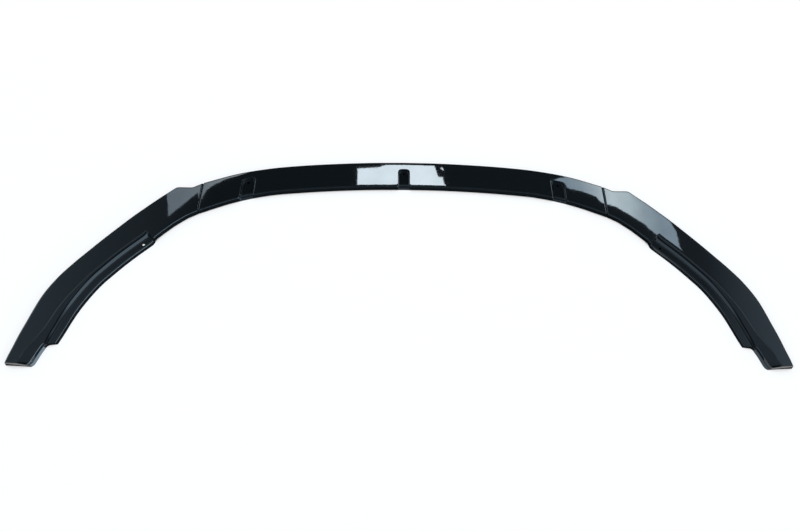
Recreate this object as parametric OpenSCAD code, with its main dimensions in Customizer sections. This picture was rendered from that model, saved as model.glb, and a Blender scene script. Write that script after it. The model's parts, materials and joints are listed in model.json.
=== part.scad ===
// Front splitter lip for a car: a shallow centre blade, a pair of swept wings and the screws that join them.
// It stands on its lower edges, with +Y to the front of the car, +X to its side and +Z up.

/* [Overall] */
// Width over the two tips
overall_w = 1700; // [1500:10:1850]
// Depth from the front edge back to the tips
overall_d = 534; // [490:2:580]
// Height of the flat top above the lower edges
height = 15; // [14:0.5:18]
// Thickness of the moulded walls
wall = 3; // [2:0.25:3.25]
// Rounding of the top along the front edge
front_r = 4; // [2:0.5:6]
// Rounding of the top along the rear edge
rear_r = 2.5; // [1:0.5:4]

/* [Centre blade] */
// Depth of the centre blade on the centre line
band_d = 70; // [62:1:76]
// Gap between the centre blade and a wing
joint_gap = 1.2; // [0.4:0.1:2]
// Break of the upper edges at that gap
end_break = 1.5; // [0.5:0.25:1.75]

/* [Screw pockets] */
// Width of the middle pocket
middle_pocket_w = 27; // [22:1:34]
// Width of each side pocket
side_pocket_w = 32; // [24:1:38]
// Place of each side pocket from the centre line
side_pocket_x = 366; // [340:2:384]
// Flat strip left in front of a pocket
pocket_lead = 21; // [16:1:26]
// Radius of a pocket's front corners
pocket_r = 9.5; // [4:0.5:10.5]
// Height of a pocket's floor
pocket_z = 7.5; // [6.5:0.5:9]
// Lean of a pocket's walls, from floor to top
pocket_draft = 1.6; // [0.6:0.2:3]
// Rounding of a pocket's mouth at the rear edge
mouth_r = 5; // [2:0.5:8]
// Ramp from a pocket's floor down to the rear edge
ramp = 5.5; // [3:0.5:6]
// Screw hole in a pocket's floor
pocket_hole_d = 5; // [4:0.5:7]
// Distance of that hole from the pocket's front rim
pocket_hole_back = 9; // [8:1:16]

/* [Wing flange] */
// Width of the flange's flat and skirt, from the wing's inner edge
flange_w = 20; // [18:1:25]
// Height of the flange's floor
flange_z = 8; // [7:0.5:9]
// Width of the steep slope above the flange
slope_w = 6; // [3:0.5:7]
// Height of the top of that slope
slope_z = 13; // [11.5:0.5:13.5]
// Width of the shallow fall between the flat top and that slope
fall_w = 5; // [4:0.5:8]
// Rounding of the flange's inner edge
flange_r = 2.5; // [1:0.5:3]
// Outward lean of the flange's skirt
skirt_lean = 3; // [1:0.5:4]
// Screw hole in the flange
flange_hole_d = 6; // [4:0.5:8]
// Distance of that hole from the flange's front end
flange_hole_back = 23; // [8:1:30]

/* [Tip] */
// Width of the tip's foot and steep slope, from its inner edge
tip_slope_w = 9.5; // [8.5:0.5:15]
// Height of the top of that slope
tip_slope_z = 12; // [10:0.5:13]
// Width of the tip's foot
tip_foot_w = 6; // [5.5:0.5:8]
// Height of the tip's foot
tip_foot_z = 6.5; // [5.5:0.5:8]
// Drop of the tip's slope over its last stretch
tip_drop = 2.5; // [0:0.5:4]
// Width of the flat top where the flange ends
waist_flat_w = 39; // [30:1:44]
// Width of the flat top at the tip's end
tip_flat_w = 26; // [16:1:32]

/* [Ribs and joint] */
// Thickness of an underside rib
rib_t = 2; // [1.5:0.25:3]
// Height of the ribs above the lower edges
rib_lift = 3; // [2:0.5:4]
// Thickness of the wall that closes an end of a moulding
end_t = 3; // [2:0.5:5]
// Length of the tongue under a wing
tongue_l = 30; // [24:1:36]
// Height of the bosses under a wing
boss_h = 4; // [3.5:0.5:4.5]
// Diameter of those bosses
boss_d = 10; // [9:0.5:12]
// Shank diameter of a joint screw
screw_d = 4; // [3:0.5:5]
// Head diameter of a joint screw
head_d = 8; // [7:0.5:10]
// Head height of a joint screw
head_h = 2.4; // [2:0.2:2.6]
// Clearance round a joint screw's shank
screw_play = 0.1; // [0.05:0.05:0.2]
// Clearance between the tongue and the wing's walls
tongue_play = 1; // [0.5:0.25:2]

/* [Hidden] */

half_w = overall_w / 2;
// Overrun of a cut
over = 1;
// Stretch over which a rib or a pocket's mouth rises, which is its draft
step = 0.4;
// Height of the closing walls above the lower edges
end_lift = 1;
// Break of a pocket's rim
rim = 0.8;
// Sideways shift of the underside below a slope, as a share of the wall
shift_share = 0.4;
// Middle point of a rounding, as a share of its radius
round_share = 0.29;
// Height of the ramp's lower end, as a share of the pocket floor's height
ramp_end_share = 0.25;
// Places of the joint screws across the joint and along the tongue
screw_shares = [0.72, 0.27];
screw_back_share = 0.52;
// Pilot depth above a boss, as a share of the wall
pilot_share = 0.5;
head_edge_share = 0.35;
point_share = 0.4;

// Half of the centre blade, from the centre line to the joint in equal steps.
// Each row holds front x, front y, rear x and rear y. An x is a share of half_w. The front y is a share of
// overall_d, and the rear y is a share of the depth behind band_d, both measured back from the front edge.
blade_shares = [
    [0, 0, 0, 0],
    [0.0924, 0.0024, 0.0935, 0.0026],
    [0.1847, 0.0095, 0.187, 0.0106],
    [0.2771, 0.0205, 0.2806, 0.0237],
    [0.3694, 0.038, 0.3741, 0.0437],
    [0.4618, 0.0692, 0.4676, 0.0875],
    [0.5541, 0.1197, 0.5612, 0.1552]];

// The wing's root, from the joint past the step forward to the front end of the flange
root_shares = [
    [0.5541, 0.1197, 0.5612, 0.1552],
    [0.5694, 0.132, 0.5712, 0.1655],
    [0.58, 0.1408, 0.5812, 0.1756],
    [0.5882, 0.1429, 0.59, 0.1849],
    [0.6059, 0.1427, 0.6041, 0.2047],
    [0.62, 0.1427, 0.6176, 0.2241],
    [0.6276, 0.1459, 0.6247, 0.2349],
    [0.6412, 0.1641, 0.6347, 0.2522],
    [0.6765, 0.2115, 0.65, 0.2791],
    [0.7271, 0.2853, 0.6668, 0.3104],
    [0.7333, 0.2951, 0.6687, 0.3246]];

// The wing along its flange
flange_shares = [
    [0.7353, 0.2985, 0.6693, 0.3297],
    [0.7412, 0.3073, 0.6741, 0.3427],
    [0.7753, 0.3633, 0.7082, 0.4009],
    [0.8071, 0.4164, 0.7371, 0.4537],
    [0.8382, 0.4709, 0.7647, 0.5086],
    [0.8718, 0.531, 0.7929, 0.569],
    [0.9065, 0.6015, 0.8188, 0.6407],
    [0.9394, 0.6927, 0.8441, 0.7265],
    [0.9671, 0.8158, 0.8671, 0.8293],
    [0.9782, 0.8684, 0.8747, 0.8621],
    [0.9868, 0.9154, 0.88, 0.8836]];

// The tip behind the flange
tip_shares = [
    [0.9873, 0.9192, 0.9006, 0.8879],
    [0.9888, 0.9267, 0.9062, 0.8966],
    [0.9915, 0.9408, 0.9106, 0.9127],
    [0.9953, 0.9605, 0.9159, 0.9321],
    [0.998, 0.977, 0.9235, 0.9666],
    [0.9993, 0.986, 0.9294, 0.9903],
    [1, 0.9938, 0.9365, 1]];

// Ribs under half of the blade and under the wing's root and flange, as shares of each stretch
blade_rib_shares = [0.14, 0.3, 0.46, 0.62, 0.9];
root_rib_shares = [0.42, 0.72];
flange_rib_shares = [0.17, 0.34, 0.51, 0.68, 0.85];
// Share of the flange where the fall begins to widen towards the tip
widen_share = 0.4;
// Share of the tip where its slope begins to drop
drop_share = 0.6;
// Drop of the foot, as a share of the slope's drop
foot_drop_share = 0.6;
// Power by which the widening and the drop set in softly
onset = 1.5;

// Sections in half of the blade, between two ribs of the root, the flange and the tip, and along a tongue
blade_steps = 18;
root_steps = 5;
flange_steps = 4;
tip_steps = 12;
tongue_steps = 4;
// Sections round a corner of a pocket and beside its mouth, as shares of their radius
corner_shares = [0, 0.2, 0.5, 1];
mouth_shares = [0, 0.3, 0.6, 1];
// Small stretch over which a curve's pace is measured
probe_share = 0.001;

// A row of the smooth curve through rows that are one step apart, t from 0 to the number of steps
function spline(rows, t) =
    let (last = len(rows) - 1, k = min(floor(t), last - 1), f = t - k,
         b = rows[k], c = rows[k + 1],
         a = k == 0 ? 2 * b - c : rows[k - 1],
         e = k == last - 1 ? 2 * c - b : rows[k + 2])
    b + f * ((c - a) + f * ((2 * a - 5 * b + 4 * c - e) + f * (3 * b - a - 3 * c + e))) / 2;

// A row of shares as a front point and a rear point of the plan
function edges(row) = [
    [row[0] * half_w, overall_d / 2 - row[1] * overall_d],
    [row[2] * half_w, overall_d / 2 - band_d - row[3] * (overall_d - band_d)]];

// The two edge points at share s of a stretch
function stretch(rows, s) = edges(spline(rows, s * (len(rows) - 1)));
function chord(e) = norm(e[0] - e[1]);
// The plan point at distance d from the rear edge
function across(e, d) = e[1] + (e[0] - e[1]) * d / chord(e);
// Share of a stretch that one unit of length takes at share s, along the rear edge
function pace(rows, s) = probe_share / norm(stretch(rows, s + probe_share)[1] - stretch(rows, s)[1]);

// The share of a stretch at a distance along its rear edge, measured from its front end
function run(rows, d, s = 0) =
    let (q = norm(stretch(rows, s + probe_share)[1] - stretch(rows, s)[1]))
    d <= q ? s + probe_share * d / q : run(rows, d - q, s + probe_share);

// A form says how a section's top falls to the rear edge: where the flat ends, the top and the foot of the
// slope and the end of the rounding as distances from the rear edge and heights, the middle of the rounding
// and the corner of the underside. The rounding is an arc, or a straight ramp at a pocket.
function form(flat_d, slope, foot, r, lean) = [flat_d, slope, foot, [lean + r, foot[1]],
    [lean + round_share * r, foot[1] - round_share * r], [lean, foot[1] - r], lean + wall];

function blade_form(w, edge) = let (lead = w - pocket_lead)
    form(lead + rim, [lead, height], [lead - pocket_draft, height], edge, 0);

function pocket_form(w, inside) =
    let (short = max(pocket_r - inside, 0), turn = pocket_r - sqrt(pocket_r * pocket_r - short * short),
         front = w - pocket_lead - turn, low = ramp_end_share * pocket_z)
    [front + rim, [front, height - rim], [front - pocket_draft, pocket_z], [ramp, pocket_z],
        [ramp / 2, (low + pocket_z) / 2], [0, low], ramp + shift_share * wall];

root_flat_d = flange_w + slope_w + fall_w;
root_form = form(root_flat_d, [flange_w + slope_w, height], [flange_w, height], rear_r, 0);

function flange_form(w, s) =
    let (widen = pow(max(0, s - widen_share) / (1 - widen_share), onset))
    form((1 - widen) * root_flat_d + widen * (w - waist_flat_w), [flange_w + slope_w, slope_z],
        [flange_w, flange_z], flange_r, skirt_lean);

function tip_form(w, s) =
    let (drop = tip_drop * pow(max(0, s - drop_share) / (1 - drop_share), onset))
    form(w - waist_flat_w - (tip_flat_w - waist_flat_w) * s, [tip_slope_w, tip_slope_z - drop],
        [tip_foot_w, tip_foot_z - foot_drop_share * drop], flange_r, skirt_lean);

// Outline of a section as distance from the rear edge and height, round the outside and back underneath.
// Where level is a height, the underside comes down to it, as at a rib or a closing wall.
function outline(w, form, level) =
    let (slope = form[1], foot = form[2],
         shift = shift_share * wall,
         under = [
            [form[6], foot[1] - wall],
            [foot[0] + shift, foot[1] - wall],
            [slope[0] + shift, slope[1] - wall],
            [form[0] + shift, height - wall],
            [w - wall, height - wall]])
    concat(
        [[w, 0], [w, height - front_r],
         [w - round_share * front_r, height - round_share * front_r],
         [w - front_r, height], [form[0], height], slope, foot,
         form[3], form[4], form[5], [0, 0], [wall, 0]],
        [for (p = under) [p[0], level == undef ? p[1] : min(p[1], level)]],
        [[w - wall, 0]]);

// A section in space from its two edge points. A drop lowers its top, as at the broken edge of an end.
function section(e, form, level, drop = 0) =
    [for (p = outline(chord(e), form, level)) let (q = across(e, p[0]))
        [q[0], q[1], p[1] > end_lift ? p[1] - drop : p[1]]];

// A closed skin over a row of sections, with a flat face at each end
module skin(sections) {
    n = len(sections[0]);
    last = len(sections) - 1;
    polyhedron(
        points = [for (s = sections, p = s) p],
        faces = concat(
            [[for (k = [0:n - 1]) k]],
            [for (j = [0:last - 1], k = [0:n - 1]) let (a = j * n, m = (k + 1) % n)
                each [[a + k, a + n + k, a + m], [a + m, a + n + k, a + n + m]]],
            [[for (k = [n - 1:-1:0]) last * n + k]]));
}

// Places along a stretch from s0 to s1 with ribs in it, each with the level of its underside
function beside(rows, r, d) = r + d * pace(rows, r);
function places(rows, s0, s1, ribs, steps) =
    let (starts = concat([s0], [for (r = ribs) beside(rows, r, rib_t / 2 + step)]),
         ends = concat([for (r = ribs) beside(rows, r, -rib_t / 2 - step)], [s1]))
    [for (k = [0:len(starts) - 1]) each concat(
        [for (j = [0:steps]) [starts[k] + (ends[k] - starts[k]) * j / steps, undef]],
        k < len(ribs) ? [for (side = [-1, 1]) [beside(rows, ribs[k], side * rib_t / 2), rib_lift]] : [])];

// The centre blade's joint is at blade_half on both sides, measured half way across the band
last_blade = len(blade_shares) - 1;
blade_half = half_w * (blade_shares[last_blade][0] + blade_shares[last_blade][2]) / 2;
blade_end = blade_half - joint_gap / 2;
pockets = [[-side_pocket_x, side_pocket_w], [0, middle_pocket_w], [side_pocket_x, side_pocket_w]];

function blade_edges(x) =
    let (e = edges(spline(blade_shares, abs(x) / blade_half * last_blade)))
    [for (p = e) [sign(x) * p[0], p[1]]];

// A list of stops in the order of their places
function sorted(list) = len(list) < 2 ? list :
    let (pivot = list[floor(len(list) / 2)][0])
    concat(sorted([for (p = list) if (p[0] < pivot) p]), [for (p = list) if (p[0] == pivot) p],
        sorted([for (p = list) if (p[0] > pivot) p]));

// Whether a place is clear of the pockets and the ribs
function clear_of_parts(x) =
    len([for (p = pockets) if (abs(x - p[0]) < p[1] / 2 + mouth_r + rib_t) p]) == 0 &&
    len([for (r = blade_rib_shares) if (abs(abs(x) - r * blade_end) < 2 * rib_t) r]) == 0;

// Stops of the blade's sections: place, form, level of the underside and drop of the top
function plain_stop(x, level, drop = 0) = [x, blade_form(chord(blade_edges(x)), rear_r), level, drop];
function mouth_stop(x, m) =
    let (turn = mouth_r - sqrt(mouth_r * mouth_r - pow(mouth_r * (1 - m), 2)))
    [x, blade_form(chord(blade_edges(x)), rear_r + turn), m < 1 ? pocket_z - wall : undef, 0];
function pocket_stop(x, inside) = [x, pocket_form(chord(blade_edges(x)), inside), undef, 0];

blade_stops = sorted(concat(
    [for (k = [1 - blade_steps:blade_steps - 1]) let (x = blade_end * k / blade_steps)
        if (clear_of_parts(x)) plain_stop(x)],
    [for (r = blade_rib_shares, side = [-1, 1], b = [-1, 1]) each [
        plain_stop(side * r * blade_end + b * (rib_t / 2 + step)),
        plain_stop(side * r * blade_end + b * rib_t / 2, rib_lift)]],
    [for (side = [-1, 1]) each [
        plain_stop(side * (blade_end - end_t - step)),
        plain_stop(side * (blade_end - end_t), end_lift),
        plain_stop(side * (blade_end - end_break), end_lift),
        plain_stop(side * blade_end, end_lift, end_break)]],
    [for (p = pockets, side = [-1, 1]) each concat(
        [for (m = mouth_shares) mouth_stop(p[0] + side * (p[1] / 2 + m * mouth_r), m)],
        [for (c = corner_shares) let (inside = pocket_draft + c * (pocket_r - pocket_draft))
            pocket_stop(p[0] + side * (p[1] / 2 - inside), inside)])]));

// The share of the right wing's root at a distance behind the joint, and the places of its two screws
function root_place(back) = run(root_shares, back);
tongue_z = height - wall - boss_h - wall;
screw_place = root_place(tongue_l * screw_back_share);
function screw_spot(k) = let (e = stretch(root_shares, screw_place)) across(e, screw_shares[k] * chord(e));

module blade_tongue() {
    near = edges(blade_shares[last_blade]);
    reach = [for (k = [0:tongue_steps]) stretch(root_shares, root_place(tongue_l * k / tongue_steps))];
    inset = wall + tongue_play;
    root = [end_t / 2, 0];
    translate([0, 0, tongue_z]) linear_extrude(wall) polygon(concat(
        [across(near, inset) - root],
        [for (e = reach) across(e, inset)],
        [for (k = [tongue_steps:-1:0]) across(reach[k], chord(reach[k]) - inset)],
        [across(near, chord(near) - inset) - root]));
}

module centre_blade() {
    color([0.07, 0.08, 0.09]) difference() {
        union() {
            skin([for (b = blade_stops) section(blade_edges(b[0]), b[1], b[2], b[3])]);
            for (m = [0, 1]) mirror([m, 0, 0]) blade_tongue();
        }
        for (p = pockets) let (e = blade_edges(p[0]))
            translate(concat(across(e, chord(e) - pocket_lead - pocket_hole_back), pocket_z - wall - over))
                cylinder(d = pocket_hole_d, h = wall + 2 * over, $fn = 48);
        for (m = [0, 1], k = [0, 1]) mirror([m, 0, 0])
            translate(concat(screw_spot(k), tongue_z - over))
                cylinder(d = screw_d + 2 * screw_play, h = wall + 2 * over, $fn = 32);
    }
}

// Stops of the wing's sections, each a place in its stretch, the level of the underside and the top's drop
root_stops = concat(
    [[root_place(joint_gap / 2), undef, end_break]],
    places(root_shares, root_place(joint_gap / 2 + end_break), beside(root_shares, 1, -wall - step),
        root_rib_shares, root_steps),
    [for (s = [beside(root_shares, 1, -wall), 1]) [s, flange_z - wall]]);
flange_stops = concat(
    [[0, undef]],
    places(flange_shares, beside(flange_shares, 0, step), beside(flange_shares, 1, -wall - step),
        flange_rib_shares, flange_steps),
    [for (s = [beside(flange_shares, 1, -wall), 1]) [s, rib_lift]]);
tip_stops = concat(
    [[0, rib_lift]],
    places(tip_shares, beside(tip_shares, 0, step), beside(tip_shares, 1, -end_t - step), [], tip_steps),
    [for (s = [beside(tip_shares, 1, -end_t), 1]) [s, end_lift]]);

module wing() {
    flange_hole_place = run(flange_shares, flange_hole_back);
    difference() {
        union() {
            skin(concat(
                [for (p = root_stops) section(stretch(root_shares, p[0]), root_form, p[1],
                    p[2] == undef ? 0 : p[2])],
                [for (p = flange_stops) let (e = stretch(flange_shares, p[0]))
                    section(e, flange_form(chord(e), p[0]), p[1])],
                [for (p = tip_stops) let (e = stretch(tip_shares, p[0]))
                    section(e, tip_form(chord(e), p[0]), p[1])]));
            for (k = [0, 1]) translate(concat(screw_spot(k), tongue_z + wall))
                cylinder(d = boss_d, h = boss_h + pilot_share * wall, $fn = 32);
        }
        translate(concat(across(stretch(flange_shares, flange_hole_place), (flange_w + skirt_lean) / 2),
            flange_z - wall - over))
            cylinder(d = flange_hole_d, h = wall + 2 * over, $fn = 48);
        for (k = [0, 1]) translate(concat(screw_spot(k), tongue_z + wall - over))
            cylinder(d = screw_d + 2 * screw_play, h = boss_h + pilot_share * wall + over, $fn = 32);
    }
}

module right_wing() { color([0.08, 0.09, 0.1]) wing(); }
module left_wing() { color([0.08, 0.09, 0.1]) mirror([1, 0, 0]) wing(); }

// A pan-head screw through the tongue into a boss, its head below the tongue
module joint_screw(k) {
    reach = wall + boss_h;
    point = reach + point_share * pilot_share * wall;
    color([0.62, 0.63, 0.65]) translate(concat(screw_spot(k), tongue_z))
        rotate_extrude($fn = 48) polygon([
            [0, -head_h], [head_d / 2 - head_edge_share * head_h, -head_h],
            [head_d / 2, -(1 - head_edge_share) * head_h], [head_d / 2, 0], [screw_d / 2, 0],
            [screw_d / 2, reach], [point_share * screw_d / 2, point], [0, point]]);
}
module left_screw(k) { mirror([1, 0, 0]) joint_screw(k); }

centre_blade();
left_wing();
right_wing();
left_screw(0);  // left_front_screw
left_screw(1);  // left_rear_screw
joint_screw(0);  // right_front_screw
joint_screw(1);  // right_rear_screw
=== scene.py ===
"""The looks of a front splitter lip: finely lofted mouldings, their finish and a studio.

The blade and the wings are lofts over the same plan curves as the solids that they stand for. Each
loft is a grid whose columns are stations along the lip and whose rows run round the section.
"""

import json
import math

import bpy
from mathutils import Matrix, Vector


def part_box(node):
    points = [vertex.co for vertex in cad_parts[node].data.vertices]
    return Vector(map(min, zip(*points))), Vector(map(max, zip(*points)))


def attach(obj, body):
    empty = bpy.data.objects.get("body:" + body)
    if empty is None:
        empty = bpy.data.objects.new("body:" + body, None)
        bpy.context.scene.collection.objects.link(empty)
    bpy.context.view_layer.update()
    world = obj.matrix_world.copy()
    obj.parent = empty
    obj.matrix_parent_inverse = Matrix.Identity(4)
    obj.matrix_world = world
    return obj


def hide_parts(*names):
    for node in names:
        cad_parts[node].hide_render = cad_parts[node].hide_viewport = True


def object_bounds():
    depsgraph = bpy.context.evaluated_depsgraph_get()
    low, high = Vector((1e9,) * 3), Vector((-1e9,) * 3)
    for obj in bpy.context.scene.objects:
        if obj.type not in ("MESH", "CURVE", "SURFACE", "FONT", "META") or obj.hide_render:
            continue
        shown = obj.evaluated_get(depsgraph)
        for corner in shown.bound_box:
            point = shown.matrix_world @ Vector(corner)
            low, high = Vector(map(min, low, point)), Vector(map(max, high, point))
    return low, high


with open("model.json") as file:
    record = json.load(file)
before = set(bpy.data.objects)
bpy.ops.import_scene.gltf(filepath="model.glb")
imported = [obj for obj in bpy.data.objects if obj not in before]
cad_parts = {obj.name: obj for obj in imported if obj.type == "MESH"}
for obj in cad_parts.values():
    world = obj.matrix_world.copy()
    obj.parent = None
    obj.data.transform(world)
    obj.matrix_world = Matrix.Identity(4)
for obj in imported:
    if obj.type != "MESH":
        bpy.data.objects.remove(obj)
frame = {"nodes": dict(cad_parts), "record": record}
CAD_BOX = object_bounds()

bl_info = {
    "name": "Front Splitter Lip",
    "version": (1, 0, 0),
    "blender": (4, 5, 0),
    "location": "3D View > Sidebar > Splitter Lip",
    "description": "Builds the mouldings, screws and studio of a front splitter lip",
    "category": "Object",
}

MM = 0.001
HALF_W = CAD_BOX[1].x
OVERALL_D = -2 * CAD_BOX[0].y
HEIGHT = CAD_BOX[1].z

# Plan curves of one half of the lip. Each row holds front x, front y, rear x and rear y. An x is a share of
# half the width. The front y is a share of the overall depth, and the rear y is a share of the depth behind
# the centre blade, both measured back from the front edge.
BLADE_SHARES = (
    (0, 0, 0, 0),
    (0.0924, 0.0024, 0.0935, 0.0026),
    (0.1847, 0.0095, 0.187, 0.0106),
    (0.2771, 0.0205, 0.2806, 0.0237),
    (0.3694, 0.038, 0.3741, 0.0437),
    (0.4618, 0.0692, 0.4676, 0.0875),
    (0.5541, 0.1197, 0.5612, 0.1552),
)
ROOT_SHARES = (
    (0.5541, 0.1197, 0.5612, 0.1552),
    (0.5694, 0.132, 0.5712, 0.1655),
    (0.58, 0.1408, 0.5812, 0.1756),
    (0.5882, 0.1429, 0.59, 0.1849),
    (0.6059, 0.1427, 0.6041, 0.2047),
    (0.62, 0.1427, 0.6176, 0.2241),
    (0.6276, 0.1459, 0.6247, 0.2349),
    (0.6412, 0.1641, 0.6347, 0.2522),
    (0.6765, 0.2115, 0.65, 0.2791),
    (0.7271, 0.2853, 0.6668, 0.3104),
    (0.7333, 0.2951, 0.6687, 0.3246),
)
FLANGE_SHARES = (
    (0.7353, 0.2985, 0.6693, 0.3297),
    (0.7412, 0.3073, 0.6741, 0.3427),
    (0.7753, 0.3633, 0.7082, 0.4009),
    (0.8071, 0.4164, 0.7371, 0.4537),
    (0.8382, 0.4709, 0.7647, 0.5086),
    (0.8718, 0.531, 0.7929, 0.569),
    (0.9065, 0.6015, 0.8188, 0.6407),
    (0.9394, 0.6927, 0.8441, 0.7265),
    (0.9671, 0.8158, 0.8671, 0.8293),
    (0.9782, 0.8684, 0.8747, 0.8621),
    (0.9868, 0.9154, 0.88, 0.8836),
)
TIP_SHARES = (
    (0.9873, 0.9192, 0.9006, 0.8879),
    (0.9888, 0.9267, 0.9062, 0.8966),
    (0.9915, 0.9408, 0.9106, 0.9127),
    (0.9953, 0.9605, 0.9159, 0.9321),
    (0.998, 0.977, 0.9235, 0.9666),
    (0.9993, 0.986, 0.9294, 0.9903),
    (1, 0.9938, 0.9365, 1),
)
BLADE_RIB_SHARES = (0.14, 0.3, 0.46, 0.62, 0.9)
ROOT_RIB_SHARES = (0.42, 0.72)
FLANGE_RIB_SHARES = (0.17, 0.34, 0.51, 0.68, 0.85)

# Distance over which the side of a rib or a closing wall leans
DRAFT = 0.4 * MM
# Steps of the roundings along the front and rear edges
EDGE_STEPS = 9
# Steps of the roundings between the other faces of a section
FACE_STEPS = 5
# Equal steps between the blade's rows in front of a pocket and behind its front corners
PLAN_STEPS = 5
# Height above the top at which a pocket's walls have their full width
RIM = 0.8 * MM
# Tangent length of the rounding between a pocket's wall and the top
RIM_SOFT = 0.7 * MM
# Millimetres inside a pocket's rim at which the blade has rows, columns or both
ROWS_OUTSIDE = (-3, -2, -1.4)
COLUMNS_OUTSIDE = (-5, -4.5, -4, -3.4, -2.8, -2.2, -1.7, -1.4)
LEVELS_INSIDE = (3.2, 4.4, 6)
# Distance outside a pocket's rim over which the rows turn straight
TURN_FADE = 3 * MM
# Share of the pocket's floor height that is left at the foot of its ramp
RAMP_FOOT = 0.25
# Places over the rounding of an end, as shares of its radius
END_STEPS = (1.3, 1, 0.7, 0.45, 0.25, 0.1, 0.02, 0)
# Steps along the tongue
TONGUE_STEPS = 4
# Shares from which the flange's top narrows and the tip's slope drops, and the power that eases both
NARROW_FROM = 0.4
DROP_FROM = 0.6
EASE = 1.5
# Part of the slope's drop that the tip's foot has
FOOT_DROP = 0.6
# Roundings of the inner edge, as shares of the flange's rounding
FLANGE_EDGE = 0.8
TIP_EDGE = 0.5
# Tangent lengths in a wing's section, as multiples of the softening
FLAT_SOFT = 2
SLOPE_SOFT = 1.7
FOOT_SOFT = 1.3
# Least tangent length at the foot, and the part of the floor that the foot leaves to it
LEAST_SOFT = 0.2 * MM
FOOT_PARTS = 2.2
# Rows of a wing's section that have further rows behind them, with the steps up to the next row
WIDE_ROWS = {10: 5, 25: 3}
# Places of the underside's bends behind those of the outside, as shares of the wall
UNDER_SHIFT = 0.4
UNDER_EDGE = 0.7
# Fewest stations of a stretch between two walls
LEAST_STATIONS = 6
# Lengths below which two points or two distances count as one
MERGE_WITHIN = 0.001 * MM
SAME = 1e-9
# Sides of the round holes and of the bores for the joint screws
HOLE_SIDES = 48
BORE_SIDES = 32
# Sharpest bend that is shaded smooth, and how far large faces rule the normals
SMOOTH_ANGLE = math.radians(32)
NORMAL_WEIGHT = 80
# The inside faces down more than this, and lies below the top by more than this share of the wall
DOWNWARD = -0.7
BELOW_TOP = 0.9


def length(name, size, about):
    """A length in metres, set in millimetres."""
    return bpy.props.FloatProperty(name=name, description=about, default=size * MM, min=0, unit="LENGTH")


def number(name, value, about):
    """A plain number."""
    return bpy.props.FloatProperty(name=name, description=about, default=value, min=0)


def colour(name, value, about):
    """A colour in linear light."""
    return bpy.props.FloatVectorProperty(
        name=name, description=about, default=value, size=3, min=0, max=1, subtype="COLOR")


class LipSizes(bpy.types.PropertyGroup):
    """Sizes of the mouldings."""
    wall: length("Wall", 3, "Thickness of the moulded walls")
    front_r: length("Front rounding", 4, "Rounding of the top along the front edge")
    rear_r: length("Rear rounding", 2.5, "Rounding of the top along the rear edge")
    band_d: length("Band depth", 70, "Depth of the centre blade on the centre line")
    joint_gap: length("Joint gap", 1.2, "Gap between the blade and a wing")
    middle_pocket_w: length("Middle pocket", 27, "Width of the middle screw pocket")
    side_pocket_w: length("Side pocket", 32, "Width of each side screw pocket")
    side_pocket_x: length("Side pocket place", 366, "Place of each side pocket from the centre line")
    pocket_lead: length("Pocket lead", 21, "Flat strip left in front of a pocket")
    pocket_r: length("Pocket corner", 9.5, "Radius of a pocket's front corners")
    pocket_z: length("Pocket floor", 7.5, "Height of a pocket's floor")
    pocket_fall: length("Pocket fall", 1.4, "Fall of a pocket's floor towards the rear edge")
    pocket_draft: length("Pocket draft", 1.6, "Lean of a pocket's walls from floor to top")
    mouth_r: length("Pocket mouth", 5, "Rounding of a pocket's mouth at the rear edge")
    ramp: length("Ramp", 5.5, "Ramp from a pocket's floor down to the rear edge")
    pocket_hole_d: length("Pocket hole", 5, "Screw hole in a pocket's floor")
    flange_w: length("Flange", 20, "Width of the flange and its skirt")
    flange_z: length("Flange floor", 8, "Height of the flange's floor")
    slope_w: length("Slope", 6, "Width of the steep slope above the flange")
    slope_z: length("Slope top", 13, "Height of the top of that slope")
    fall_w: length("Fall", 5, "Width of the shallow fall above that slope")
    flange_r: length("Flange rounding", 2.5, "Rounding of the flange's inner edge")
    skirt_lean: length("Skirt lean", 3, "Outward lean of the flange's skirt")
    flange_hole_d: length("Flange hole", 6, "Screw hole in the flange")
    tip_slope_w: length("Tip slope", 9.5, "Width of the tip's foot and slope")
    tip_slope_z: length("Tip slope top", 12, "Height of the top of the tip's slope")
    tip_foot_w: length("Tip foot", 6, "Width of the tip's foot")
    tip_foot_z: length("Tip foot height", 6.5, "Height of the tip's foot")
    tip_drop: length("Tip drop", 2.5, "Drop of the tip's slope over its last stretch")
    waist_flat_w: length("Waist flat", 39, "Width of the flat top where the flange ends")
    tip_flat_w: length("Tip flat", 26, "Width of the flat top at the tip's end")
    rib_t: length("Rib", 2, "Thickness of an underside rib")
    rib_lift: length("Rib lift", 3, "Height of the ribs above the lower edges")
    end_r: length("End rounding", 2, "Rounding of the upper edges at a joint")
    end_t: length("End wall", 3, "Thickness of the wall that closes an end")
    end_lift: length("End lift", 1, "Height of the closing walls above the lower edges")
    tongue_l: length("Tongue", 30, "Length of the tongue under a wing")
    tongue_play: length("Tongue play", 1, "Clearance between the tongue and the wing's walls")
    boss_h: length("Boss height", 4, "Height of the bosses under a wing")
    boss_d: length("Boss", 10, "Diameter of the bosses under a wing")
    screw_d: length("Screw", 4, "Shank diameter of a joint screw")
    screw_play: length("Screw play", 0.1, "Clearance round a joint screw's shank")
    soft: length("Softening", 1.2, "Tangent length of the small roundings between faces")
    pitch: length("Pitch", 5, "Distance between two stations of a loft")


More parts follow.
